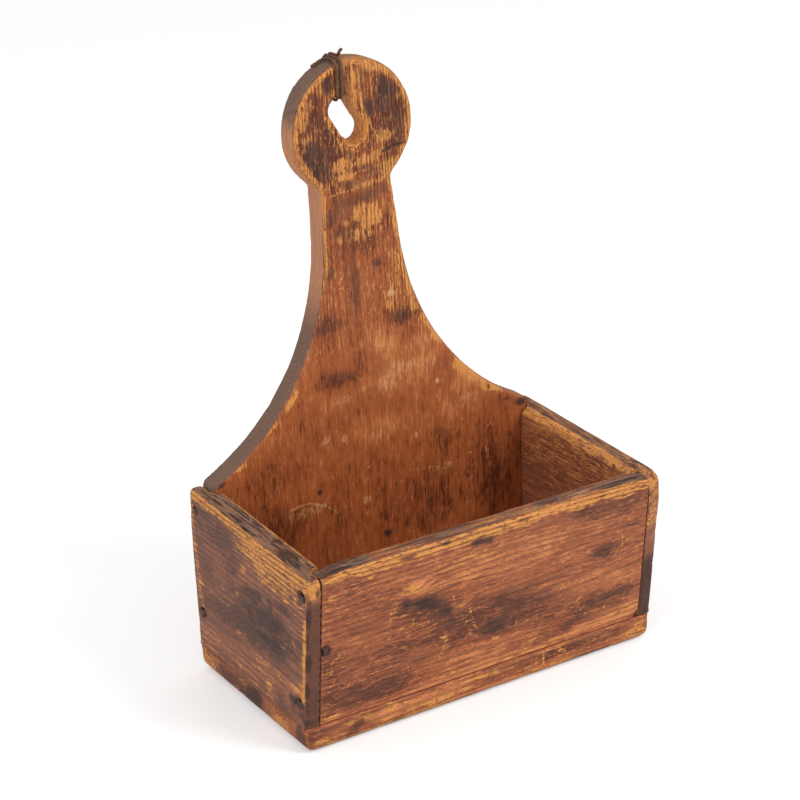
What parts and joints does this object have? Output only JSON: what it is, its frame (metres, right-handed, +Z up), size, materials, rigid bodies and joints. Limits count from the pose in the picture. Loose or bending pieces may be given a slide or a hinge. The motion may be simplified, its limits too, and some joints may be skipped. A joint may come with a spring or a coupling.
{
  "type": "hanging candle box",
  "caption": "Antique wall-hanging candle box of nailed pine boards, open at the top, with a round-headed back board pierced for hanging.",
  "frame": {"origin": "middle of the bottom board's underside, which the box stands on", "axes": "+Z up, -Y is the front, +X to the right as seen from the front"},
  "size_m": [0.305, 0.1811, 0.4603],
  "materials": {
    "back_pine": "worn stain over old pine",
    "side_pine": "worn dark stain over old pine",
    "front_pine": "worn stain over old pine",
    "bottom_pine": "worn stain over old pine",
    "nail_iron": "rusted black",
    "lace_leather": "dry and dark"
  },
  "bodies": {
    "root": {"back_board": "back_pine", "left_side": "side_pine", "right_side": "side_pine", "front_board": "front_pine", "bottom_board": "bottom_pine", "left_front_nails": "nail_iron", "right_front_nails": "nail_iron", "left_back_nails": "nail_iron", "right_back_nails": "nail_iron", "front_corner_nail": "nail_iron", "front_floor_nails": "nail_iron", "back_floor_nails": "nail_iron", "left_floor_nails": "nail_iron", "right_floor_nails": "nail_iron", "hanging_lace": "lace_leather"}
  },
  "joints": []
}
